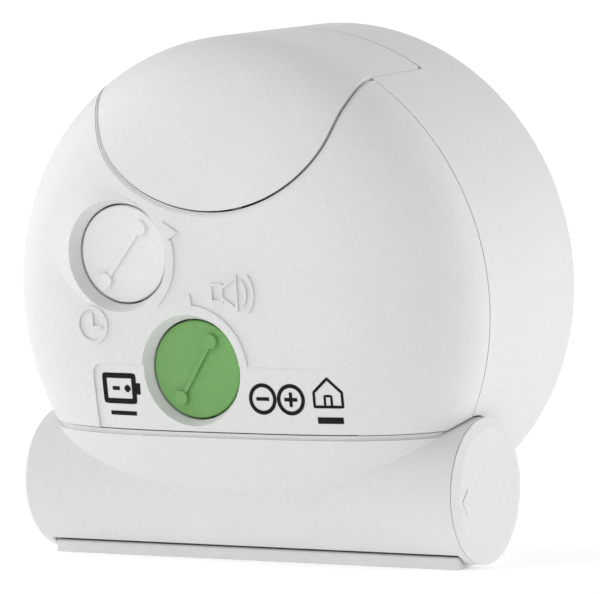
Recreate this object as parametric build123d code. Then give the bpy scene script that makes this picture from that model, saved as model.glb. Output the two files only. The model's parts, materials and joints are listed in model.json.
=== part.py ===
from build123d import *
import os
from math import atan2, cos, degrees, hypot, radians, sin, tan

# Twin-knob alarm clock: a round tilted head on a horizontal battery barrel.
# Row frame: +Z up, the dial faces -Y, the battery runs along X and its cap is
# at -X. The origin is the centre of the foot plate's underside. Millimetres.
os.makedirs("parts", exist_ok=True)

# ---------------------------------------------------------------- dimensions
# Foot plate
FOOT_HALF_LENGTH = 32.4
FOOT_DEPTH = 26.8
FOOT_HEIGHT = 1.72
FOOT_TAPER = 15.0
FOOT_GAP = 0.22
FOOT_TOP_GAP = 0.34

# Battery barrel, sized round one AA cell
BARREL_RADIUS = 10.0
BARREL_HALF_LENGTH = 34.55
BARREL_Y = 8.77
BARREL_Z = 10.53
BORE_RADIUS = 7.6
BORE_END = 32.2
SOCKET_RADIUS = 8.7
SOCKET_END = -27.6
CAP_SEAM = -33.95
CAP_GAP = 0.1
CAP_FACE_RADIUS = 8.6
CAP_BEVEL = 0.45
PLUG_RADIUS = 8.5
PLUG_END = -28.6
LUG_RADIUS = 9.1
LUG_ANGLE = 28.0
GROOVE_RADIUS = 9.3
CELL_RADIUS = 7.25
CELL_LENGTH = 50.5
CELL_TIP = 31.6

# Head: a body of revolution about the dial axis, tilted back
HEAD_TILT = 6.93
HEAD_Z = 36.92
HEAD_RADIUS = 36.49
FRONT_RADIUS = 35.4
FRONT_W = 24.7
SPLIT_W = -3.81
SPLIT_GAP = 0.26
DOME_DEPTH = 11.2
DOME_SHOULDER = 22.5
DOME_POWER = 2.4
DOME_STEPS = 10
BACK_W = SPLIT_W - DOME_DEPTH
WALL = 1.8
BORE_IN_RING = 33.9
LEDGE_RADIUS = 31.8
LEDGE_W = 15.8
LENS_W = 22.0
LENS_RADIUS = 33.3
LIP_OUTER = 33.6
LIP_INNER = 32.9

# Neck between the back cover and the barrel, leaning in towards the barrel
PARTING_U = -17.1
PARTING_GAP = 0.2
NECK_DROP = 12.0
NECK_LEAN = 0.22
REBATE_DEPTH = 0.45
REBATE_HEIGHT = 0.85

# Snooze bar, hinged on a pin behind its lower tip
BAR_HALF_WIDTH = 20.2
BAR_FRONT_HALF_WIDTH = 19.6
# Points round one side of the bar's lower tongue: x, u and outward direction
TONGUE_EDGE = [
    (0.0, 13.35, -90),
    (6.4, 14.3, -75),
    (12.1, 16.9, -57),
    (15.7, 19.9, -42),
    (18.0, 23.3, -29),
    (19.3, 26.8, -17),
    (BAR_HALF_WIDTH, 30.2, -6),
]
BAR_FRONT_W = 11.7
BAR_GAP = 0.15
BAR_FRONT_GAP = 0.3
BAR_WALL = 1.6
# Eased lip round the bar's opening in the back cover: width and depth
LIP_STEPS = [(0.5, 0.12), (0.25, 0.3)]
PIN_U = 15.6
PIN_W = -11.2
PIN_RADIUS = 0.8
SWITCH_U = 26.1

# Set knobs: (x, u) centre on the back
TIME_KNOB = (15.15, 7.2)
ALARM_KNOB = (4.45, -8.7)
KNOB_RADIUS = 6.8
KNOB_FACE_W = -13.2
KNOB_THICKNESS = 2.9
WELL_TOP_RADIUS = 7.85
WELL_RADIUS = 7.05
WELL_FLOOR_W = -9.9
CUP_RADIUS = 8.6
CUP_FLOOR = 1.2
MOUND_RADIUS = 12.5
MOUND_DROP = 1.9
SHAFT_RADIUS = 1.6
RUNNING_GAP = 0.06

# Raised signs on the back
SIGN_HEIGHT = 0.3
SIGN_LINE = 0.36
ARROW_RADIUS = 8.95
ARROW_LINE = 0.6

# Label recess
LABEL_HALF_WIDTH = 20.6
LABEL_TOP_U = -7.9
LABEL_DEPTH = 0.32

# Movement
REAR_PLATE_W = -3.0
REAR_PLATE_THICKNESS = 1.4
FRONT_PLATE_W = 13.2
FRONT_PLATE_THICKNESS = 1.8
DIAL_THICKNESS = 0.75
DIAL_RADIUS = 33.6
DIAL_FACE_W = FRONT_PLATE_W + FRONT_PLATE_THICKNESS + DIAL_THICKNESS
PILLARS = [(-18.0, -11.0), (17.0, -11.0), (-18.0, 17.8), (17.5, 17.5)]
BOARD_POSTS = [(-10.5, 15.6), (10.5, 15.6)]
BOARD_W = -6.6
BOARD_THICKNESS = 1.0

# Gear train: teeth and centre distances in the (x, u) plane
SET_TEETH = 24
MINUTE_TEETH = 36
CANNON_TEETH = 12
MINUTE_PINION_TEETH = 10
HOUR_TEETH = 40
SET_MODULE = 0.32
ALARM_PINION_TEETH = 16
ALARM_TEETH = 32
ROTOR_TEETH = 8
INTERMEDIATE_TEETH = 48
PINION_TEETH = 8
SECOND_TEETH = 40
THIRD_TEETH = 60
CENTRE_TEETH = 64
ROTOR_MODULE = 0.2
TRAIN_MODULE = 0.25

BASE = (Align.CENTER, Align.CENTER, Align.MIN)
HEAD = Plane(
    origin=(0, BARREL_Y, HEAD_Z),
    x_dir=(1, 0, 0),
    z_dir=(0, -cos(radians(HEAD_TILT)), sin(radians(HEAD_TILT))),
).location
TO_HEAD = HEAD.inverse()


# ------------------------------------------------------------------- helpers
# Head parts are built in head coordinates: x across, u up the dial, w towards
# the dial. HEAD turns them into the row frame.
def disc(radius, low, high, x=0.0, u=0.0):
    return Pos(x, u, low) * Cylinder(radius, high - low, align=BASE)


def tube(outer, inner, low, high, x=0.0, u=0.0):
    return disc(outer, low, high, x, u) - disc(inner, low - 1, high + 1, x, u)


def block(x, u, w):
    """A box given by its (low, high) limits on the three axes."""
    size = Box(x[1] - x[0], u[1] - u[0], w[1] - w[0], align=(Align.MIN,) * 3)
    return Pos(x[0], u[0], w[0]) * size


def rod(radius, low, high):
    """A round bar along X on the barrel's axis, in the row frame."""
    bar = Rot(0, 90, 0) * Cylinder(radius, high - low, align=BASE)
    return Pos(low, BARREL_Y, BARREL_Z) * bar


def largest(shape):
    return shape.solids().sort_by(SortBy.VOLUME)[-1]


def polar(radius, angle, centre=(0.0, 0.0)):
    x = centre[0] + radius * cos(radians(angle))
    return (x, centre[1] + radius * sin(radians(angle)))


def between(start, end):
    """Direction in degrees from one centre to another."""
    return degrees(atan2(end[1] - start[1], end[0] - start[0]))


def save(name, shape):
    export_step(shape, f"parts/{name}.step")


def save_head(name, shape):
    save(name, HEAD * shape)


def dome_profile(inset):
    """Superellipse from the flat back out to the split line, inset all round."""
    core = HEAD_RADIUS - DOME_SHOULDER
    points = []
    for step in range(DOME_STEPS + 1):
        angle = radians(90.0 * step / DOME_STEPS)
        radial = abs(sin(angle)) ** (2 / DOME_POWER)
        axial = abs(cos(angle)) ** (2 / DOME_POWER)
        r = core + (DOME_SHOULDER - inset) * radial
        points.append((r, SPLIT_W - (DOME_DEPTH - inset) * axial))
    return points


def envelope(inset=0.0):
    """Everything inside the head's outer surface, less an inset."""
    points = dome_profile(inset)
    dome = Spline(*points, tangents=[(1, 0), (0, 1)])
    front = (FRONT_RADIUS - inset, FRONT_W)
    outline = Line((0, points[0][1]), points[0]) + dome
    outline += Polyline(points[-1], front, (0, FRONT_W), (0, points[0][1]))
    return revolve(Plane.XZ * make_face(outline), axis=Axis.Z)


def gear_face(teeth, module, phase):
    """Stub-toothed clock gear with straight flanks and wide backlash."""
    pitch_radius = module * teeth / 2
    tip = pitch_radius + 0.85 * module
    root = pitch_radius - 1.15 * module
    pitch = 360.0 / teeth
    points = []
    for tooth in range(teeth):
        middle = phase + tooth * pitch
        points.append(polar(root, middle - 0.30 * pitch))
        points.append(polar(tip, middle - 0.11 * pitch))
        points.append(polar(tip, middle + 0.11 * pitch))
        points.append(polar(root, middle + 0.30 * pitch))
    return make_face(Polyline(*points, close=True))


def gear(teeth, module, low, high, centre=(0.0, 0.0), phase=0.0):
    face = Pos(centre[0], centre[1], low) * gear_face(teeth, module, phase)
    return extrude(face, high - low)


def meshed(phase, teeth, own_teeth, direction):
    """Phase of a gear that meshes with one of known phase, lying in a direction."""
    offset = (direction - phase) * teeth / 360.0
    return direction + 180.0 - (0.5 - offset) * 360.0 / own_teeth


def screw(head_radius, head_height, shank_radius, length):
    """Pan-head screw standing on its shank's tip direction +Z, slot in the head."""
    body = disc(head_radius, -head_height, 0) + disc(shank_radius, 0, length)
    slot = block(
        (-head_radius, head_radius),
        (-0.15 * head_radius, 0.15 * head_radius),
        (-head_height, -0.55 * head_height),
    )
    return body - slot


# ------------------------------------------------------- barrel, foot and cap
def foot_plan(growth=0.0):
    """Plan of the foot: its sides run in towards the front."""
    back = FOOT_DEPTH / 2 + growth
    front = -FOOT_DEPTH / 2 - growth
    slope = tan(radians(FOOT_TAPER))
    half_back = FOOT_HALF_LENGTH + growth * (1 + slope)
    half_front = half_back - (back - front) * slope
    corners = [
        (half_back, back),
        (half_front, front),
        (-half_front, front),
        (-half_back, back),
    ]
    return make_face(Polyline(*corners, close=True))


FOOT_SCREWS_BARREL = [(-24.0, BARREL_Y - 8.5), (24.0, BARREL_Y - 8.5)]
FOOT_SCREWS_RING = [(-8.0, BARREL_Y - 16.0), (8.0, BARREL_Y - 16.0)]
FOOT_SCREW_TOP = 5.0

# The pocket is open towards the back, so the foot's rear edge shows.
pocket_half = FOOT_HALF_LENGTH + FOOT_GAP
foot_pocket = extrude(foot_plan(FOOT_GAP), FOOT_HEIGHT + FOOT_TOP_GAP)
foot_pocket += block((-pocket_half, pocket_half), (FOOT_DEPTH / 2 - 1, 16), (0, FOOT_HEIGHT + FOOT_TOP_GAP))

foot_plate = extrude(foot_plan(), FOOT_HEIGHT)
foot_plate = chamfer(foot_plate.edges().filter_by(Axis.Z), 0.3)
foot_plate = chamfer(foot_plate.faces().sort_by(Axis.Z)[-1].edges(), 0.2)
for x, y in FOOT_SCREWS_RING:
    foot_plate += disc(2.0, FOOT_HEIGHT - 0.2, 2.6, x, y)
for x, y in FOOT_SCREWS_BARREL:
    foot_plate += disc(2.0, FOOT_HEIGHT - 0.2, FOOT_HEIGHT + FOOT_TOP_GAP - 0.02, x, y)
for x, y in FOOT_SCREWS_BARREL + FOOT_SCREWS_RING:
    foot_plate -= disc(0.78, -1, 4, x, y)
    foot_plate -= disc(1.75, -1, 1.0, x, y)
save("foot_plate", foot_plate)

one_foot_screw = screw(1.6, 0.75, 0.7, FOOT_SCREW_TOP - 1.0)
foot_screws = [Pos(x, y, 1.0) * one_foot_screw for x, y in FOOT_SCREWS_BARREL + FOOT_SCREWS_RING]
save("foot_screw", Compound(children=foot_screws))

barrel = rod(BARREL_RADIUS, CAP_SEAM + CAP_GAP, BARREL_HALF_LENGTH)
barrel = chamfer(barrel.edges().filter_by(GeomType.CIRCLE).sort_by(Axis.X)[-1], 0.7)


def neck_core(inset):
    """The head's section at the parting, carried down and inwards."""
    parting = Plane(origin=(0, PARTING_U - PARTING_GAP, 0), x_dir=(1, 0, 0), z_dir=(0, -1, 0))
    section = envelope(inset) & (parting * Rectangle(100, 100))
    return extrude(section, NECK_DROP, dir=(0, -1, NECK_LEAN))


neck = neck_core(0.0) & block((-40, 40), (-40, PARTING_U - REBATE_HEIGHT), (-20, 20))
neck += neck_core(REBATE_DEPTH)
neck -= neck_core(WALL)
neck &= block((-40, 40), (-40, 0), (-20, SPLIT_W - SPLIT_GAP))
neck = HEAD * neck
neck -= rod(BARREL_RADIUS - 0.5, -50, 50)
barrel += neck
for x, y in FOOT_SCREWS_BARREL:
    barrel += disc(2.0, FOOT_HEIGHT, 6.0, x, y)
barrel -= foot_pocket
barrel -= rod(BORE_RADIUS, -50, BORE_END)
barrel -= rod(SOCKET_RADIUS, -50, SOCKET_END)
barrel -= rod(GROOVE_RADIUS, -31.7, -29.3)
for x, y in FOOT_SCREWS_BARREL:
    barrel -= disc(0.72, 1, FOOT_SCREW_TOP + 0.2, x, y)
strip_groove = block((SOCKET_END - 1, BORE_END), (-2.1, 2.1), (BARREL_Z + 7, BARREL_Z + 8.45))
barrel -= Pos(0, BARREL_Y, 0) * strip_groove


def lug(growth, low, high, turn):
    """One bayonet lug, a sector round the barrel's axis, in the row frame."""
    reach = LUG_RADIUS + growth
    half = radians(LUG_ANGLE / 2) + growth / reach
    wedge = make_face(Polyline((0, 0), (20, -20 * tan(half)), (20, 20 * tan(half)), close=True))
    sector = extrude(wedge, high - low) & Cylinder(reach, high - low, align=BASE)
    return Pos(low, BARREL_Y, BARREL_Z) * Rot(turn, 0, 0) * Rot(0, 90, 0) * sector


CAP_TURN = 45.0
for side in (0, 180):
    barrel -= lug(0.2, -40, -29.3, side + 45 - CAP_TURN)
save("battery_barrel", largest(barrel))

cap = rod(BARREL_RADIUS, -BARREL_HALF_LENGTH + CAP_BEVEL, CAP_SEAM)
bevel = Rot(0, 90, 0) * Cone(CAP_FACE_RADIUS, BARREL_RADIUS, CAP_BEVEL, align=BASE)
cap += Pos(-BARREL_HALF_LENGTH, BARREL_Y, BARREL_Z) * bevel
cap += rod(PLUG_RADIUS, CAP_SEAM - 0.2, PLUG_END)
for side in (0, 180):
    cap += lug(0.0, -31.3, -29.7, side + 45)
for end in (1.4, -1.4):
    arm = Polyline((BARREL_Y + 7.6, BARREL_Z - 1.1), (BARREL_Y + 6.2, BARREL_Z - 1.1 + end * 1.15))
    groove = trace(arm, line_width=0.3)
    groove = Plane(origin=(-BARREL_HALF_LENGTH, 0, 0), x_dir=(0, 1, 0), z_dir=(1, 0, 0)) * groove
    cap += extrude(groove, -0.12)
save("battery_cap", cap)

save("cap_contact", rod(6.5, PLUG_END, PLUG_END + 0.4))
coil = Helix(pitch=2.1, height=8.4, radius=4.4, cone_angle=8)
wire = sweep(Plane(origin=coil @ 0, z_dir=coil % 0) * Circle(0.32), path=coil)
spring_seat = Pos(PLUG_END + 0.75, BARREL_Y, BARREL_Z) * Rot(0, 90, 0)
save("cap_spring", spring_seat * wire)

cell_end = CELL_TIP - CELL_LENGTH
cell = rod(CELL_RADIUS, cell_end, CELL_TIP - 1.3)
cell = fillet(cell.edges().filter_by(GeomType.CIRCLE), 0.6)
cell += rod(2.75, CELL_TIP - 1.5, CELL_TIP)
save("battery_cell", cell)
save("contact_plate", rod(5.5, CELL_TIP + 0.05, BORE_END - 0.05))
strip_x = (SOCKET_END + 0.2, BORE_END - 1.0)
strip = block(strip_x, (-1.9, 1.9), (BARREL_Z + 7.95, BARREL_Z + 8.25))
save("contact_strip", Pos(0, BARREL_Y, 0) * strip)

# ------------------------------------------------------------- front housing
SEAT_ANGLES = (30, 150, 270)
SEAT_RADIUS = 32.75
barrel_room = TO_HEAD * rod(BARREL_RADIUS + 0.3, -60, 60)
foot_room = TO_HEAD * foot_pocket


def bar_opening(gap, front_gap):
    """Room for the snooze bar, grown outwards by the gap (or shrunk)."""
    edge = [polar(gap, normal, (x, u)) for x, u, normal in TONGUE_EDGE]
    right = Spline(*edge, tangents=[(1, 0), (0.1, 1)])
    left = Spline(*[(-x, u) for x, u in edge], tangents=[(-1, 0), (-0.1, 1)])
    corner = edge[-1]
    top = Polyline(corner, (corner[0], 42), (-corner[0], 42), (-corner[0], corner[1]))
    rear = extrude(Pos(0, 0, -20) * make_face(right + top + left), 20 + SPLIT_W + 0.01)
    back_half = BAR_HALF_WIDTH + gap
    front_half = BAR_FRONT_HALF_WIDTH + gap
    front_w = BAR_FRONT_W + front_gap
    corners = [
        (-back_half, SPLIT_W),
        (-front_half, front_w),
        (front_half, front_w),
        (back_half, SPLIT_W),
    ]
    plan = make_face(Polyline(*corners, close=True))
    plan = fillet(plan.vertices().sort_by(Axis.Y)[-2:], 0.6)
    lift = Plane(origin=(0, 20, 0), x_dir=(1, 0, 0), z_dir=(0, -1, 0))
    return rear + extrude(lift * plan, -22)


opening = bar_opening(BAR_GAP, BAR_FRONT_GAP)

ring = envelope() & block((-40, 40), (-40, 40), (SPLIT_W + SPLIT_GAP, FRONT_W + 1))
ring = fillet(ring.edges().filter_by(GeomType.CIRCLE).sort_by(Axis.Z)[-1], 1.2)
ring -= disc(BORE_IN_RING, -10, LEDGE_W)
ring -= disc(LEDGE_RADIUS, 0, 40)
ring -= disc(LENS_RADIUS, LENS_W, 40)
ring -= opening
ring -= barrel_room
ring -= foot_room
for angle in SEAT_ANGLES:
    ring -= disc(0.5, LEDGE_W - 1, LEDGE_W + 4, *polar(SEAT_RADIUS, angle))
for x, y in FOOT_SCREWS_RING:
    ring -= TO_HEAD * disc(0.72, 1, FOOT_SCREW_TOP + 0.2, x, y)
save_head("front_housing", largest(ring))
save_head("lens", disc(LENS_RADIUS - 0.12, LENS_W, LENS_W + 1.6))

# ---------------------------------------------------------------- back cover
shell = envelope() - envelope(WALL)
cover = shell & block((-40, 40), (PARTING_U, 40), (-20, SPLIT_W))
lip = tube(HEAD_RADIUS - WALL + 0.4, LIP_INNER, -6.4, SPLIT_W)
lip += tube(LIP_OUTER, LIP_INNER, SPLIT_W - 0.5, -1.2)
lip &= block((-40, 40), (PARTING_U, 40), (-20, 0))
cover += lip & envelope(0.5)
cover -= barrel_room
cover -= opening

for width, depth in LIP_STEPS:
    cover -= bar_opening(BAR_GAP + width, BAR_FRONT_GAP) - envelope(depth)
for centre in (TIME_KNOB, ALARM_KNOB):
    cup = disc(CUP_RADIUS, BACK_W + 0.35, WELL_FLOOR_W + CUP_FLOOR, *centre)
    mound = Cone(WELL_TOP_RADIUS + 0.1, MOUND_RADIUS, MOUND_DROP, align=BASE)
    cup += Pos(centre[0], centre[1], BACK_W) * mound - opening
    if centre == ALARM_KNOB:
        cup &= block((-40, 40), (PARTING_U, 40), (-20, 0))
    cover += cup
PIN_AXIS = Plane(origin=(0, PIN_U, PIN_W), x_dir=(0, 1, 0), z_dir=(1, 0, 0))
for side in (-1, 1):
    x_limits = sorted((side * 2.75, side * 4.25))
    ear = block(x_limits, (10.4, 17.3), (-13.05, -9.5))
    ear += block(x_limits, (10.4, 13.0), (-14.2, -13.0))
    cover += ear
cover -= PIN_AXIS * Cylinder(PIN_RADIUS + 0.02, 12)
for centre in (TIME_KNOB, ALARM_KNOB):
    mouth = Cone(WELL_TOP_RADIUS, WELL_RADIUS, KNOB_FACE_W - BACK_W, align=BASE)
    cover -= Pos(centre[0], centre[1], BACK_W) * mouth
    cover -= disc(WELL_RADIUS, KNOB_FACE_W, WELL_FLOOR_W, *centre)
    cover -= disc(WELL_TOP_RADIUS, BACK_W - 5, BACK_W + 0.001, *centre)
    cover -= disc(SHAFT_RADIUS + 0.3, -20, 0, *centre)

label_face = RectangleRounded(2 * LABEL_HALF_WIDTH, LABEL_TOP_U + 30, 1.5)
label_room = extrude(Pos(0, (LABEL_TOP_U - 30) / 2, -20) * label_face, 12)
cover -= label_room - envelope(LABEL_DEPTH)

# Raised signs: turn arrows round the knobs, a clock face and a loudspeaker.
signs = []
for centre, start, end, head in (
    (TIME_KNOB, 228.5, 165.5, [(9.13, 148.6), (10.66, 161.8), (8.8, 165.4)]),
    (ALARM_KNOB, 174.5, 96.5, [(9.23, 79.0), (10.86, 93.6), (9.0, 96.6)]),
):
    arc = CenterArc(centre, ARROW_RADIUS, start, end - start)
    signs.append(trace(arc, line_width=ARROW_LINE))
    corners = [polar(radius, angle, centre) for radius, angle in head]
    signs.append(make_face(Polyline(*corners, close=True)))
clock_centre = (19.9, -2.5)
signs.append(trace(CenterArc(clock_centre, 2.4, 0, 360), line_width=SIGN_LINE))
hands = Polyline((clock_centre[0], -0.9), (clock_centre[0], -2.8), (clock_centre[0] - 1.6, -2.8))
signs.append(trace(hands, line_width=SIGN_LINE))
magnet_box = Polyline((0.3, 3.4), (0.3, 1.1), (-1.4, 1.1), (-1.4, 3.4), close=True)
signs.append(trace(magnet_box, line_width=SIGN_LINE))
horn = Polyline((-1.4, 2.95), (-3.7, 4.5), (-3.7, 0.0), (-1.4, 1.6))
signs.append(trace(horn, line_width=SIGN_LINE))
signs.append(trace(ThreePointArc((-4.5, 4.0), (-5.15, 2.25), (-4.5, 0.5)), line_width=SIGN_LINE))
signs.append(trace(ThreePointArc((-5.4, 4.8), (-6.3, 2.25), (-5.4, -0.3)), line_width=SIGN_LINE))
sign_band = envelope(-SIGN_HEIGHT) - envelope(0.4)
for sign in signs:
    cover += extrude(Pos(0, 0, -20) * sign, 12) & sign_band
for centre in (TIME_KNOB, ALARM_KNOB):
    cover -= disc(WELL_TOP_RADIUS, BACK_W - 5, BACK_W + 0.001, *centre)
save_head("back_cover", largest(cover))

# ---------------------------------------------------------------- snooze bar
bar = envelope() - envelope(BAR_WALL)
bar &= bar_opening(-BAR_GAP, -0.15)
bar += block((-2.6, 2.6), (14.1, 17.1), (-13.6, -9.8))
bar += block((-3, 3), (25.3, 26.9), (-12.9, PIN_W - 0.05))
bar -= PIN_AXIS * Cylinder(PIN_RADIUS + RUNNING_GAP, 12)
save_head("snooze_bar", largest(bar))
save_head("snooze_pin", PIN_AXIS * Cylinder(PIN_RADIUS, 8.4))

# --------------------------------------------------------------------- knobs
for name, centre, slope in (("time_knob", TIME_KNOB, 129.3), ("alarm_knob", ALARM_KNOB, 123.0)):
    knob = disc(KNOB_RADIUS, KNOB_FACE_W, KNOB_FACE_W + KNOB_THICKNESS, *centre)
    knob = fillet(knob.edges().filter_by(GeomType.CIRCLE).sort_by(Axis.Z)[0], 0.25)
    grip = [polar(4.75, slope, centre), polar(4.75, slope + 180, centre)]
    ridge = extrude(Pos(0, 0, KNOB_FACE_W - 0.4) * trace(Line(*grip), line_width=0.6), 0.7)
    for spot in grip:
        ridge += disc(1.0, KNOB_FACE_W - 0.6, KNOB_FACE_W + 0.3, *spot)
    knob += ridge
    knob -= disc(SHAFT_RADIUS + 0.02, KNOB_FACE_W + 1.0, 0, *centre)
    save_head(name, knob)

# ------------------------------------------------------------ movement plates
plate_face = Pos(-0.5, 3) * RectangleRounded(41, 34, 3)
rear_w = REAR_PLATE_W + REAR_PLATE_THICKNESS
front_w = FRONT_PLATE_W + FRONT_PLATE_THICKNESS

CENTRE = (0.0, 0.0)
THIRD = polar(8.5, 200)
INTERMEDIATE = polar(6.0, 100)
ROTOR = polar(5.6, 150, INTERMEDIATE)
set_pitch = SET_MODULE * (CANNON_TEETH + MINUTE_TEETH) / 2
knob_pitch = SET_MODULE * (SET_TEETH + MINUTE_TEETH) / 2
knob_reach = hypot(*TIME_KNOB)
swing = (set_pitch**2 + knob_reach**2 - knob_pitch**2) / (2 * set_pitch * knob_reach)
MINUTE = polar(set_pitch, between(CENTRE, TIME_KNOB) + degrees(atan2((1 - swing**2) ** 0.5, swing)))

rear_plate = extrude(Pos(0, 0, REAR_PLATE_W) * plate_face, REAR_PLATE_THICKNESS)
for x, u in BOARD_POSTS:
    rear_plate += disc(1.6, BOARD_W + BOARD_THICKNESS, REAR_PLATE_W + 0.3, x, u)
    rear_plate -= disc(0.55, BOARD_W, 0, x, u)
for x, u in PILLARS:
    rear_plate -= disc(0.9, -10, 10, x, u)
for centre in (TIME_KNOB, ALARM_KNOB):
    rear_plate -= disc(SHAFT_RADIUS + RUNNING_GAP, -10, 10, *centre)
for centre in (CENTRE, THIRD, INTERMEDIATE, ROTOR):
    rear_plate -= disc(0.5 + RUNNING_GAP, -2.2, 10, *centre)
save_head("rear_plate", rear_plate)

STUD_RADIUS = 0.6
front_plate = disc(DIAL_RADIUS, FRONT_PLATE_W, front_w)
for x, u in PILLARS:
    front_plate += disc(1.8, rear_w, FRONT_PLATE_W + 0.2, x, u)
    front_plate -= disc(0.75, rear_w - 1, rear_w + 7, x, u)
front_plate += disc(STUD_RADIUS, 6.3, FRONT_PLATE_W + 0.2, *MINUTE)
front_plate -= disc(2.5 + RUNNING_GAP, 0, 20, *CENTRE)
for centre in (TIME_KNOB, ALARM_KNOB):
    front_plate -= disc(1.0 + RUNNING_GAP, 10, FRONT_PLATE_W + 1.3, *centre)
for angle in SEAT_ANGLES:
    front_plate -= disc(0.6, 10, 20, *polar(SEAT_RADIUS, angle))
save_head("front_plate", front_plate)

# A small bridge carries the front pivots of the going train.
BRIDGE_POST = (-12.5, 9.0)
BRIDGE_W = (6.2, 7.2)

movement_screw = screw(1.6, 1.0, 0.7, 7.5)
movement_screws = [Pos(x, u, REAR_PLATE_W) * movement_screw for x, u in PILLARS]
save_head("movement_screw", Compound(children=movement_screws))
plate_screw = screw(0.95, 0.6, 0.48, 6.0)
seats = [Pos(*polar(SEAT_RADIUS, angle), FRONT_PLATE_W) * plate_screw for angle in SEAT_ANGLES]
save_head("plate_screw", Compound(children=seats))
board_screw = screw(1.4, 0.8, 0.5, 4.4)
board_screws = [Pos(x, u, BOARD_W) * board_screw for x, u in BOARD_POSTS]
save_head("board_screw", Compound(children=board_screws))

# ------------------------------------------------------------- motion works
time_dir = between(CENTRE, MINUTE)
cannon = gear(CANNON_TEETH, SET_MODULE, 6.6, 8.0)
cannon += tube(1.1, 0.58, 8.0, 18.7)
cannon -= disc(0.58, 0, 30)
save_head("cannon_pinion", cannon)

minute_phase = meshed(0.0, CANNON_TEETH, MINUTE_TEETH, time_dir)
hour_module = set_pitch * 2 / (MINUTE_PINION_TEETH + HOUR_TEETH)
minute_wheel = gear(MINUTE_TEETH, SET_MODULE, 6.8, 7.8, MINUTE, minute_phase)
minute_wheel += gear(MINUTE_PINION_TEETH, hour_module, 7.8, 9.8, MINUTE)
minute_wheel -= disc(STUD_RADIUS + RUNNING_GAP, 0, 20, *MINUTE)
save_head("minute_wheel", minute_wheel)

hour_phase = meshed(0.0, MINUTE_PINION_TEETH, HOUR_TEETH, time_dir + 180)
hour_wheel = gear(HOUR_TEETH, hour_module, 8.6, 9.6, CENTRE, hour_phase)
hour_wheel += disc(1.75, 9.6, 17.7)
hour_wheel -= disc(1.1 + RUNNING_GAP, 0, 30)
save_head("hour_wheel", hour_wheel)

set_phase = meshed(minute_phase, MINUTE_TEETH, SET_TEETH, between(MINUTE, TIME_KNOB))
time_shaft = disc(SHAFT_RADIUS, KNOB_FACE_W + 1.1, FRONT_PLATE_W - 0.1, *TIME_KNOB)
time_shaft += disc(1.0, FRONT_PLATE_W - 0.2, FRONT_PLATE_W + 1.2, *TIME_KNOB)
time_shaft += gear(SET_TEETH, SET_MODULE, 6.6, 8.0, TIME_KNOB, set_phase)
save_head("time_set_shaft", time_shaft)

alarm_dir = between(CENTRE, ALARM_KNOB)
alarm_module = 2 * hypot(*ALARM_KNOB) / (ALARM_PINION_TEETH + ALARM_TEETH)
alarm_wheel = gear(ALARM_TEETH, alarm_module, 10.8, 11.8)
alarm_wheel += disc(2.5, 11.8, 16.7)
alarm_wheel -= disc(1.75 + RUNNING_GAP, 0, 30)
save_head("alarm_wheel", alarm_wheel)
alarm_phase = meshed(0.0, ALARM_TEETH, ALARM_PINION_TEETH, alarm_dir)
alarm_shaft = disc(SHAFT_RADIUS, KNOB_FACE_W + 1.1, FRONT_PLATE_W - 0.1, *ALARM_KNOB)
alarm_shaft += disc(1.0, FRONT_PLATE_W - 0.2, FRONT_PLATE_W + 1.2, *ALARM_KNOB)
alarm_shaft += gear(ALARM_PINION_TEETH, alarm_module, 10.6, 12.0, ALARM_KNOB, alarm_phase)
save_head("alarm_set_shaft", alarm_shaft)

# -------------------------------------------------------------- going train
centre_module = 2 * 8.5 / (PINION_TEETH + CENTRE_TEETH)
second_wheel = disc(0.5, -2.1, 19.6)
second_wheel += gear(SECOND_TEETH, TRAIN_MODULE, 1.0, 1.8)
second_wheel += gear(PINION_TEETH, TRAIN_MODULE, 1.8, 3.8)
save_head("second_wheel", second_wheel)

third_dir = between(CENTRE, THIRD)
third_phase = meshed(0.0, PINION_TEETH, THIRD_TEETH, third_dir)
third_wheel = disc(0.5, -2.1, 6.9, *THIRD)
third_wheel += gear(THIRD_TEETH, TRAIN_MODULE, 2.8, 3.6, THIRD, third_phase)
third_wheel += gear(PINION_TEETH, centre_module, 3.6, 5.6, THIRD)
save_head("third_wheel", third_wheel)

centre_phase = meshed(0.0, PINION_TEETH, CENTRE_TEETH, third_dir + 180)
centre_wheel = gear(CENTRE_TEETH, centre_module, 4.6, 5.4, CENTRE, centre_phase)
centre_wheel += disc(1.6, 5.4, 6.5)
centre_wheel -= disc(0.5 + RUNNING_GAP, 0, 20)
save_head("centre_wheel", centre_wheel)

second_phase = meshed(0.0, SECOND_TEETH, PINION_TEETH, between(CENTRE, INTERMEDIATE))
intermediate = disc(0.5, -2.1, 2.6, *INTERMEDIATE)
intermediate += gear(INTERMEDIATE_TEETH, ROTOR_MODULE, -0.6, 0.2, INTERMEDIATE)
intermediate += gear(PINION_TEETH, TRAIN_MODULE, 0.2, 2.0, INTERMEDIATE, second_phase)
save_head("intermediate_wheel", intermediate)

rotor_phase = meshed(0.0, INTERMEDIATE_TEETH, ROTOR_TEETH, between(INTERMEDIATE, ROTOR))
rotor_pinion = disc(0.5, -2.1, 6.9, *ROTOR)
rotor_pinion += gear(ROTOR_TEETH, ROTOR_MODULE, -0.8, 0.6, ROTOR, rotor_phase)
save_head("rotor_pinion", rotor_pinion)
save_head("rotor_magnet", tube(2.0, 0.52, 0.8, 2.6, *ROTOR))

bridge_face = offset(make_face(Polyline(THIRD, ROTOR, BRIDGE_POST, close=True)), amount=2.0)
bridge = extrude(Pos(0, 0, BRIDGE_W[0]) * bridge_face, BRIDGE_W[1] - BRIDGE_W[0])
bridge += disc(1.6, rear_w, BRIDGE_W[0] + 0.2, *BRIDGE_POST)
for centre in (THIRD, ROTOR):
    bridge -= disc(0.5 + RUNNING_GAP, 5, 10, *centre)
save_head("train_bridge", bridge)

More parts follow.
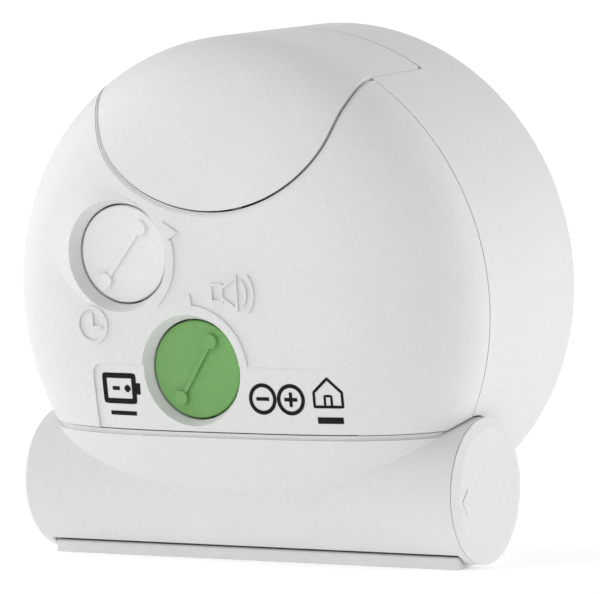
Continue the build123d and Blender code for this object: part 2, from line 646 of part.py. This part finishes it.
# --------------------------------------------------------------- step motor
arms = block((-19, -5.9), (13.0, 15.5), (1.2, 2.2)) + block((-19, -5.9), (2.4, 4.6), (1.2, 2.2))
arms += block((-9.3, -2.6), (2.4, 15.5), (1.2, 2.2))
arms -= disc(2.4, 0, 5, *ROTOR)
arms -= disc(5.6, 0, 5, *CENTRE)
save_head("stator", arms)
COIL_X = -17.6
core = block((COIL_X - 1, COIL_X + 1), (2.4, 15.5), (2.2, 3.2))
save_head("coil_core", core)
coil_axis = Plane(origin=(COIL_X, 5.0, 2.7), x_dir=(1, 0, 0), z_dir=(0, 1, 0))
bobbin = Cylinder(1.6, 7.6, align=BASE)
for height in (0.0, 7.0):
    bobbin += Pos(0, 0, height) * Cylinder(2.9, 0.6, align=BASE)
bobbin -= Box(2.04, 1.04, 20)
save_head("coil_bobbin", coil_axis * bobbin)
winding = Pos(0, 0, 0.65) * (Cylinder(2.6, 6.3, align=BASE) - Cylinder(1.62, 6.3, align=BASE))
save_head("coil_winding", coil_axis * winding)

# ------------------------------------------------- circuit board and sounder
board = block((-13, 13), (13.0, 29.4), (BOARD_W, BOARD_W + BOARD_THICKNESS))
for x, u in BOARD_POSTS:
    board -= disc(0.6, -10, 0, x, u)
save_head("circuit_board", board)
save_head("chip", Pos(-5.5, 20.5, BOARD_W + BOARD_THICKNESS) * Cylinder(2.8, 1.1, align=BASE))
crystal_seat = Plane(origin=(6.5, 16.5, BOARD_W + BOARD_THICKNESS + 1.05), x_dir=(1, 0, 0), z_dir=(0, 1, 0))
crystal = Cylinder(1.0, 6.0, align=BASE)
crystal = fillet(crystal.edges().filter_by(GeomType.CIRCLE), 0.25)
save_head("crystal", crystal_seat * crystal)
switch_body = block((-3, 3), (SWITCH_U - 3, SWITCH_U + 3), (-10.1, BOARD_W))
switch_body -= disc(1.75 + RUNNING_GAP, -20, -9.2, 0, SWITCH_U)
save_head("snooze_switch", switch_body)
save_head("switch_plunger", disc(1.75, PIN_W, -9.5, 0, SWITCH_U))
BUZZER = (-17.0, -3.0)
buzzer = disc(8.0, -11.6, -6.2, *BUZZER)
buzzer -= disc(1.2, -20, -10.6, *BUZZER)
save_head("buzzer", buzzer)

# ------------------------------------------------------------ dial and hands
dial = disc(DIAL_RADIUS, front_w, DIAL_FACE_W) - disc(2.8, 0, 30)
for angle in SEAT_ANGLES:
    dial -= disc(0.6, 10, 20, *polar(SEAT_RADIUS, angle))
save_head("dial", dial)
print_faces = []
for minute in range(60):
    length = 2.6 if minute % 5 == 0 else 1.2
    width = 0.8 if minute % 5 == 0 else 0.3
    spot = polar(30.4 - length / 2, 90 - 6 * minute)
    print_faces.append(Pos(*spot) * Rot(0, 0, -6 * minute) * Rectangle(width, length))
marks = [extrude(Pos(0, 0, DIAL_FACE_W) * face, 0.1) for face in print_faces]
save_head("dial_marks", Compound(children=[solid for mark in marks for solid in mark.solids()]))


def hand(length, tail, root_width, tip_width, low, high, bore, hub, clock_angle):
    """A tapered hand on a round hub, turned clockwise from twelve."""
    outline = [
        (-root_width / 2, -tail),
        (root_width / 2, -tail),
        (tip_width / 2, length),
        (-tip_width / 2, length),
    ]
    blade = extrude(Pos(0, 0, low) * make_face(Polyline(*outline, close=True)), high - low)
    body = blade + disc(hub, low, high) - disc(bore, low - 1, high + 1)
    return Rot(0, 0, -clock_angle) * body


save_head("alarm_hand", hand(16.0, 0, 1.0, 0.7, 16.3, 16.6, 2.52, 3.4, 210))
save_head("hour_hand", hand(17.5, 5, 3.0, 2.2, 17.2, 17.6, 1.77, 3.2, 305))
save_head("minute_hand", hand(26.5, 6, 2.4, 1.6, 18.2, 18.6, 1.12, 2.6, 60))
save_head("second_hand", hand(28.0, 9, 0.8, 0.5, 19.2, 19.5, 0.52, 1.9, 180))
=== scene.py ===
import json
from math import cos, hypot, pi, radians, sin

import bmesh
import bpy
from mathutils import Matrix, Vector
from mathutils.bvhtree import BVHTree


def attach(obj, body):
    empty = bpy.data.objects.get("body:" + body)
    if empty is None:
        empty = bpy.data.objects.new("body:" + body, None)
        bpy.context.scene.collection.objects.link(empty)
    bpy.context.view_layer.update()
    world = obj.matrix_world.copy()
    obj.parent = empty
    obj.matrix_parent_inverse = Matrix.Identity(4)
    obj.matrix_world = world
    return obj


# Studio view of a small alarm clock, seen from behind. Metres, the CAD's frame:
# +Z up, the dial faces -Y, the battery cap is at -X.
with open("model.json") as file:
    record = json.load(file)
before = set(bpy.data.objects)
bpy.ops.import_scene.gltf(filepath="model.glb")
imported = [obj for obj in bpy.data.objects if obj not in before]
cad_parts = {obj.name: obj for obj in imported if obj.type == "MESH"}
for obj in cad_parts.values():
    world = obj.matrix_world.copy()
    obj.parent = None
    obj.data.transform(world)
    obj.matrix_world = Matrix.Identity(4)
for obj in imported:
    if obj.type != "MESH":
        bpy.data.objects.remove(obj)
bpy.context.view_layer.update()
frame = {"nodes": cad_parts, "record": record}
nodes = frame["nodes"]
MM = 0.001

# ------------------------------------------------------------- the head's own axes
# The head leans back. A point on it is given in millimetres across (x), up the dial (u)
# and along the dial's axis (w), which runs forward out of the dial.
HEAD_TILT = radians(6.93)
DIAL_AXIS = Vector((0, -cos(HEAD_TILT), sin(HEAD_TILT)))
DIAL_UP = Vector((0, sin(HEAD_TILT), cos(HEAD_TILT)))
BARREL_Y = 8.77 * MM
HEAD_CENTRE = Vector((0, BARREL_Y, 36.92 * MM))
DIAL_FACE_W = 15.75
BEHIND_HEAD_W = -40


def head_point(x, u, w):
    return HEAD_CENTRE + Vector((x, 0, 0)) * MM + DIAL_UP * (u * MM) + DIAL_AXIS * (w * MM)


# ------------------------------------------------------------------ shader pieces
def grey(level):
    return (level, level, level)


def new_material(name):
    material = bpy.data.materials.new(name)
    material.use_nodes = True
    shader = material.node_tree.nodes["Principled BSDF"]
    return material, material.node_tree, shader


def add(tree, kind, **settings):
    """A new node, with its sockets or its own properties set by name."""
    node = tree.nodes.new(kind)
    for key, value in settings.items():
        if key in node.inputs:
            node.inputs[key].default_value = value
        else:
            setattr(node, key, value)
    return node


def mapped(tree, value, target, source=(0.0, 1.0), **settings):
    """A value carried from one range to another."""
    spread = add(tree, "ShaderNodeMapRange", **settings)
    for end, number in zip(("From Min", "From Max", "To Min", "To Max"), (*source, *target)):
        spread.inputs[end].default_value = number
    tree.links.new(value, spread.inputs["Value"])
    return spread.outputs["Result"]


def grain(tree, scale, detail=2.0, roughness=0.5):
    place = add(tree, "ShaderNodeTexCoord")
    noise = add(tree, "ShaderNodeTexNoise", Scale=scale, Detail=detail, Roughness=roughness)
    tree.links.new(place.outputs["Object"], noise.inputs["Vector"])
    return noise.outputs["Fac"]


def tinted(tree, shader, factor, dark, light, low=0.35, high=0.65):
    """Colour that wanders between two close shades."""
    ramp = add(tree, "ShaderNodeValToRGB")
    ramp.color_ramp.elements[0].position = low
    ramp.color_ramp.elements[0].color = (*dark, 1)
    ramp.color_ramp.elements[1].position = high
    ramp.color_ramp.elements[1].color = (*light, 1)
    tree.links.new(factor, ramp.inputs["Fac"])
    tree.links.new(ramp.outputs["Color"], shader.inputs["Base Color"])


def bumped(tree, shader, height, strength, depth):
    bump = add(tree, "ShaderNodeBump", Strength=strength, Distance=depth)
    tree.links.new(height, bump.inputs["Height"])
    tree.links.new(bump.outputs["Normal"], shader.inputs["Normal"])


def varied_roughness(tree, shader, factor, low, high):
    tree.links.new(mapped(tree, factor, (low, high)), shader.inputs["Roughness"])


# ------------------------------------------------------------------ materials
BROAD_GRAIN_SCALE = 60
BROAD_GRAIN_SHARE = 0.3
GRAIN_DEPTH = 0.04 * MM
TOOLING_DEPTH = 0.02 * MM
WIRE_DEPTH = 0.06 * MM
GROOVE_SHADE = 0.85
# The floor's painted light: its glow near the clock and far off, and the distances in metres it grows
# between. The glow is weaker near the clock, which leaves the floor darker there.
FLOOR_GLOW = (0.3, 0.6)
GLOW_REACH = (0.1, 0.9)


def moulded_plastic(name, colour, spread=0.03, rough=(0.5, 0.62), grain_scale=2600, bump=0.5, gloss=0.4):
    """Moulded plastic with a spark-eroded grain, slight mottling and soft gloss."""
    material, tree, shader = new_material(name)
    fine = grain(tree, grain_scale, 3.0, 0.6)
    broad = grain(tree, BROAD_GRAIN_SCALE)
    dark = tuple(max(0.0, c - spread) for c in colour)
    light = tuple(min(1.0, c + spread) for c in colour)
    mix = add(tree, "ShaderNodeMix", data_type="FLOAT")
    mix.inputs["Factor"].default_value = BROAD_GRAIN_SHARE
    tree.links.new(fine, mix.inputs["A"])
    tree.links.new(broad, mix.inputs["B"])
    tinted(tree, shader, mix.outputs["Result"], dark, light)
    varied_roughness(tree, shader, broad, *rough)
    bumped(tree, shader, fine, bump, GRAIN_DEPTH)
    shader.inputs["Specular IOR Level"].default_value = gloss
    return material


def metal(name, colour, rough, stretch=(400, 400, 40)):
    """Metal with drawn or turned tooling lines."""
    material, tree, shader = new_material(name)
    place = add(tree, "ShaderNodeTexCoord")
    stretched = add(tree, "ShaderNodeMapping", Scale=stretch)
    noise = add(tree, "ShaderNodeTexNoise", Scale=8.0, Detail=4.0)
    tree.links.new(place.outputs["Object"], stretched.inputs["Vector"])
    tree.links.new(stretched.outputs["Vector"], noise.inputs["Vector"])
    lines = noise.outputs["Fac"]
    tinted(tree, shader, lines, tuple(c * GROOVE_SHADE for c in colour), colour)
    varied_roughness(tree, shader, lines, rough * 0.8, rough * 1.3)
    bumped(tree, shader, lines, 0.15, TOOLING_DEPTH)
    shader.inputs["Metallic"].default_value = 1.0
    return material


def lens_plastic():
    """Clear window with faint polish marks in its gloss."""
    material, tree, shader = new_material("clear_window")
    varied_roughness(tree, shader, grain(tree, 240, 3.0), 0.01, 0.02)
    shader.inputs["Base Color"].default_value = (0.98, 0.99, 1.0, 1)
    shader.inputs["Transmission Weight"].default_value = 1.0
    shader.inputs["IOR"].default_value = 1.0
    return material


def winding_wire():
    """Enamelled copper, wound in fine turns across the coil."""
    material, tree, shader = new_material("enamelled_copper")
    place = add(tree, "ShaderNodeTexCoord")
    wave = add(tree, "ShaderNodeTexWave", bands_direction="Z", Scale=900.0, Distortion=1.5)
    tree.links.new(place.outputs["Object"], wave.inputs["Vector"])
    turns = wave.outputs["Fac"]
    tinted(tree, shader, turns, (0.22, 0.06, 0.02), (0.62, 0.24, 0.09), 0.2, 0.8)
    bumped(tree, shader, turns, 0.6, WIRE_DEPTH)
    shader.inputs["Metallic"].default_value = 0.8
    shader.inputs["Roughness"].default_value = 0.3
    return material


def sweep_material():
    """White floor with a painted glow of its own, weaker near the clock, where the floor reads darker,
    and stronger away from it.
    """
    material, tree, shader = new_material("white_sweep")
    tinted(tree, shader, grain(tree, 6), grey(0.94), grey(0.96))
    place = add(tree, "ShaderNodeTexCoord")
    away = add(tree, "ShaderNodeVectorMath", operation="LENGTH")
    tree.links.new(place.outputs["Object"], away.inputs[0])
    # Painted light: the floor's emission, weaker near the clock and stronger far off.
    glow = mapped(tree, away.outputs["Value"], FLOOR_GLOW, GLOW_REACH, interpolation_type="SMOOTHSTEP")
    tree.links.new(glow, shader.inputs["Emission Strength"])
    shader.inputs["Emission Color"].default_value = (1, 1, 1, 1)
    shader.inputs["Roughness"].default_value = 0.9
    shader.inputs["Specular IOR Level"].default_value = 0.1
    return material


MATERIALS = {
    "white_plastic": moulded_plastic("white_moulding", grey(0.75)),
    # The knob white is lighter than the case's white. In part this is painted light that offsets the
    # shade the knobs get in their wells.
    "knob_white": moulded_plastic("white_knob", grey(0.82), rough=(0.42, 0.52), bump=0.3),
    "knob_green": moulded_plastic(
        "green_knob", (0.175, 0.40, 0.118), spread=0.02, rough=(0.42, 0.55), bump=0.6
    ),
    "clear_lens": lens_plastic(),
    "dial_white": moulded_plastic("dial_card", (0.80, 0.80, 0.78), rough=(0.7, 0.8), grain_scale=1500),
    "print_black": moulded_plastic(
        "black_print", grey(0.012), spread=0.004, rough=(0.6, 0.75), gloss=0.1
    ),
    "hand_black": moulded_plastic("black_lacquer", grey(0.015), spread=0.004, rough=(0.3, 0.4)),
    "hand_green": moulded_plastic("green_lacquer", (0.15, 0.34, 0.10), rough=(0.3, 0.4)),
    "movement_plastic": moulded_plastic("movement_moulding", (0.62, 0.60, 0.53), rough=(0.45, 0.6)),
    "gear_plastic": moulded_plastic("acetal", (0.78, 0.75, 0.66), rough=(0.3, 0.42)),
    "steel": metal("bright_steel", (0.62, 0.62, 0.63), 0.3),
    "copper": winding_wire(),
    "board": moulded_plastic("solder_resist", (0.03, 0.17, 0.06), rough=(0.25, 0.4)),
    "black_plastic": moulded_plastic("black_moulding", grey(0.025), spread=0.006),
    "magnet": metal("sintered_magnet", (0.18, 0.18, 0.19), 0.55, stretch=(150, 150, 150)),
    "cell_wrap": moulded_plastic("cell_sleeve", (0.05, 0.12, 0.28), rough=(0.2, 0.3)),
}
for row in frame["record"]["subparts"]:
    part = nodes[row["node"]]
    part.data.materials.clear()
    part.data.materials.append(MATERIALS[row["material_slot"]])

# ---------------------------------------------------------------------- print
# PRINT_LIFT is from a surface to the middle of the ink on it. All in millimetres.
PRINT_LIFT = 0.03
PRINT_STEP = 0.25
INK_THICKNESS = 0.02
cover_tree = BVHTree.FromObject(nodes["back_cover"], bpy.context.evaluated_depsgraph_get())


def black_piece(name, mesh):
    """An object made from a finished bmesh, in the print's black."""
    data = bpy.data.meshes.new(name)
    mesh.to_mesh(data)
    mesh.free()
    data.materials.append(MATERIALS["print_black"])
    piece = bpy.data.objects.new(name, data)
    bpy.context.scene.collection.objects.link(piece)
    return piece


def on_cover(x, u):
    """The spot on the back cover at (x, u), lifted for the ink."""
    hit, _, _, _ = cover_tree.ray_cast(head_point(x, u, BEHIND_HEAD_W), DIAL_AXIS)
    return hit - DIAL_AXIS * (PRINT_LIFT * MM)


def dense_points(path, closed):
    """The path with points added about every PRINT_STEP along it."""
    ends = path[1:] + path[:1] if closed else path[1:]
    dense = []
    for (x0, u0), (x1, u1) in zip(path, ends):
        count = max(1, int(hypot(x1 - x0, u1 - u0) / PRINT_STEP))
        for k in range(count):
            dense.append((x0 + (x1 - x0) * k / count, u0 + (u1 - u0) * k / count))
    return dense if closed else dense + path[-1:]


def strip_edges(path, width, closed):
    """Pairs of points on the two edges of a line of even width along a path."""
    dense = dense_points(path, closed)
    if closed:
        befores, afters = dense[-1:] + dense[:-1], dense[1:] + dense[:1]
    else:
        befores, afters = dense[:1] + dense[:-1], dense[1:] + dense[-1:]
    edges = []
    for (x, u), (x0, u0), (x1, u1) in zip(dense, befores, afters):
        length = hypot(x1 - x0, u1 - u0)
        side_x = (u0 - u1) / length * width / 2
        side_u = (x1 - x0) / length * width / 2
        edges.append(((x + side_x, u + side_u), (x - side_x, u - side_u)))
    return edges


def printed_lines(name, lines):
    """Ink lines laid on the cover: each is (path, width, closed)."""
    mesh = bmesh.new()
    for path, width, closed in lines:
        edges = strip_edges(path, width, closed)
        rows = [[mesh.verts.new(on_cover(*spot)) for spot in pair] for pair in edges]
        nexts = rows[1:] + rows[:1] if closed else rows[1:]
        for (a, b), (c, d) in zip(rows, nexts):
            mesh.faces.new((a, b, d, c))
    piece = black_piece(name, mesh)
    ink = piece.modifiers.new("ink", "SOLIDIFY")
    ink.thickness = INK_THICKNESS * MM
    ink.offset = 0.0
    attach(piece, "case")


def circle(x, u, radius, count=32):
    angles = [2 * pi * i / count for i in range(count)]
    return [(x + radius * cos(angle), u + radius * sin(angle)) for angle in angles]


# A cell outline with its two signs, over a bar
printed_lines("print_cell", [
    ([(18.9, -13.2), (18.9, -9.6), (14.0, -9.6), (14.0, -13.2)], 0.75, True),
    ([(13.4, -12.2), (13.4, -10.6)], 0.9, False),
    ([(18.3, -14.9), (13.9, -14.9)], 0.6, False),
    ([(17.6, -11.4), (16.4, -11.4)], 0.55, False),
    ([(15.6, -11.4), (14.6, -11.4)], 0.55, False),
    ([(15.1, -11.9), (15.1, -10.9)], 0.55, False),
])
# A minus and a plus, each in a ring
printed_lines("print_polarity", [
    (circle(-6.6, -12.3, 1.9), 0.55, True),
    (circle(-11.0, -12.3, 1.9), 0.55, True),
    ([(-7.6, -12.3), (-5.6, -12.3)], 0.5, False),
    ([(-12.0, -12.3), (-10.0, -12.3)], 0.5, False),
    ([(-11.0, -13.3), (-11.0, -11.3)], 0.5, False),
])
# A house with its door, over a bar
printed_lines("print_indoor", [
    ([(-14.6, -13.2), (-14.6, -11.2), (-16.7, -9.3), (-18.8, -11.2), (-18.8, -13.2)], 0.4, True),
    ([(-16.2, -13.1), (-16.2, -11.7), (-17.2, -11.7), (-17.2, -13.1)], 0.35, False),
    ([(-14.9, -15.1), (-18.7, -15.1)], 0.9, False),
])

# -------------------------------------------------------------- dial numerals
NUMERAL_RADIUS = 23.4
NUMERAL_HEIGHT = 8.2
NUMERAL_HALF_THICKNESS = 0.02
HOUR_STEP = 30


def numeral_mesh(hour):
    """One hour's numeral as a thin mesh, centred on its own origin."""
    text = bpy.data.curves.new(f"hour_{hour}", "FONT")
    text.body = str(hour)
    text.size = NUMERAL_HEIGHT * MM
    text.extrude = NUMERAL_HALF_THICKNESS * MM
    text.resolution_u = 6
    text.align_x = "CENTER"
    text.align_y = "CENTER"
    holder = bpy.data.objects.new(f"hour_{hour}", text)
    bpy.context.scene.collection.objects.link(holder)
    bpy.context.view_layer.update()
    data = bpy.data.meshes.new_from_object(holder.evaluated_get(bpy.context.evaluated_depsgraph_get()))
    bpy.data.objects.remove(holder)
    bpy.data.curves.remove(text)
    return data


def dial_numerals():
    """The hours 1 to 12 as one thin printed mesh on the dial."""
    mesh = bmesh.new()
    turn = Matrix((Vector((1, 0, 0)), DIAL_UP, DIAL_AXIS)).transposed().to_4x4()
    for hour in range(1, 13):
        data = numeral_mesh(hour)
        angle = radians(90 - HOUR_STEP * hour)
        x, u = NUMERAL_RADIUS * cos(angle), NUMERAL_RADIUS * sin(angle)
        data.transform(Matrix.Translation(head_point(x, u, DIAL_FACE_W + PRINT_LIFT)) @ turn)
        mesh.from_mesh(data)
        bpy.data.meshes.remove(data)
    piece = black_piece("dial_numerals", mesh)
    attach(piece, "case")


dial_numerals()

# ------------------------------------------------------------ floor and lights
FLOOR_HALF = 6.0
WHITE_ROOM = 1.04
DIM_ROOM = 0.3
DIM_CEILING = 0.45
DIM_SIDE = Vector((-0.5, 0.866, 0.0))
DIM_FROM_HEIGHT = 0.1
LAMP_DISTANCE = 1.2
LAMP_SIZE = 0.6
LAMP_AIM = Vector((0, BARREL_Y, 36 * MM))


def white_floor():
    corners = [(x * FLOOR_HALF, y * FLOOR_HALF, 0) for x, y in ((-1, -1), (1, -1), (1, 1), (-1, 1))]
    mesh = bpy.data.meshes.new("floor")
    mesh.from_pydata(corners, [], [(0, 1, 2, 3)])
    mesh.materials.append(sweep_material())
    floor = bpy.data.objects.new("floor", mesh)
    bpy.context.scene.collection.objects.link(floor)


def white_room():
    """A white room, dimmer overhead and on the side that the camera stands on."""
    world = bpy.data.worlds.new("studio")
    bpy.context.scene.world = world
    world.use_nodes = True
    tree = world.node_tree
    direction = add(tree, "ShaderNodeTexCoord").outputs["Generated"]
    facing = add(tree, "ShaderNodeVectorMath", operation="DOT_PRODUCT")
    facing.inputs[1].default_value = DIM_SIDE
    tree.links.new(direction, facing.inputs[0])
    split = add(tree, "ShaderNodeSeparateXYZ")
    tree.links.new(direction, split.inputs["Vector"])
    glow = add(tree, "ShaderNodeMath", operation="MULTIPLY")
    sideways = mapped(tree, facing.outputs["Value"], (WHITE_ROOM, DIM_ROOM))
    overhead = mapped(tree, split.outputs["Z"], (1.0, DIM_CEILING), (DIM_FROM_HEIGHT, 1.0))
    tree.links.new(sideways, glow.inputs[0])
    tree.links.new(overhead, glow.inputs[1])
    backdrop = tree.nodes["Background"]
    backdrop.inputs["Color"].default_value = (1, 1, 1, 1)
    tree.links.new(glow.outputs["Value"], backdrop.inputs["Strength"])


def softbox(name, azimuth, elevation, power):
    """A square lamp pointed at the clock; azimuth 0 is in front of the dial."""
    around, up = radians(azimuth), radians(elevation)
    way = Vector((sin(around) * cos(up), -cos(around) * cos(up), sin(up)))
    lamp = bpy.data.lights.new(name, "AREA")
    lamp.size = LAMP_SIZE
    lamp.energy = power
    light = bpy.data.objects.new(name, lamp)
    light.location = LAMP_AIM + way * LAMP_DISTANCE
    light.rotation_euler = way.to_track_quat("Z", "Y").to_euler()
    bpy.context.scene.collection.objects.link(light)


white_floor()
white_room()
softbox("key", 165, 30, 2.5)
softbox("graze", 100, 20, 4.0)
softbox("side", 300, 14, 3.8)

# --------------------------------------------------------------------- camera
CAMERA_PLACE = Vector((-342.2, 593.8, 56.05)) * MM
CAMERA_AIM = Vector((-4.89, 8.77, 36.47)) * MM
FOCAL_LENGTH = 292.6
SENSOR_WIDTH = 36.0

optics = bpy.data.cameras.new("camera")
optics.lens = FOCAL_LENGTH
optics.sensor_width = SENSOR_WIDTH
camera = bpy.data.objects.new("camera", optics)
camera.location = CAMERA_PLACE
camera.rotation_euler = (CAMERA_PLACE - CAMERA_AIM).to_track_quat("Z", "Y").to_euler()
bpy.context.scene.collection.objects.link(camera)
bpy.context.scene.camera = camera
bpy.context.scene.view_settings.view_transform = "Standard"
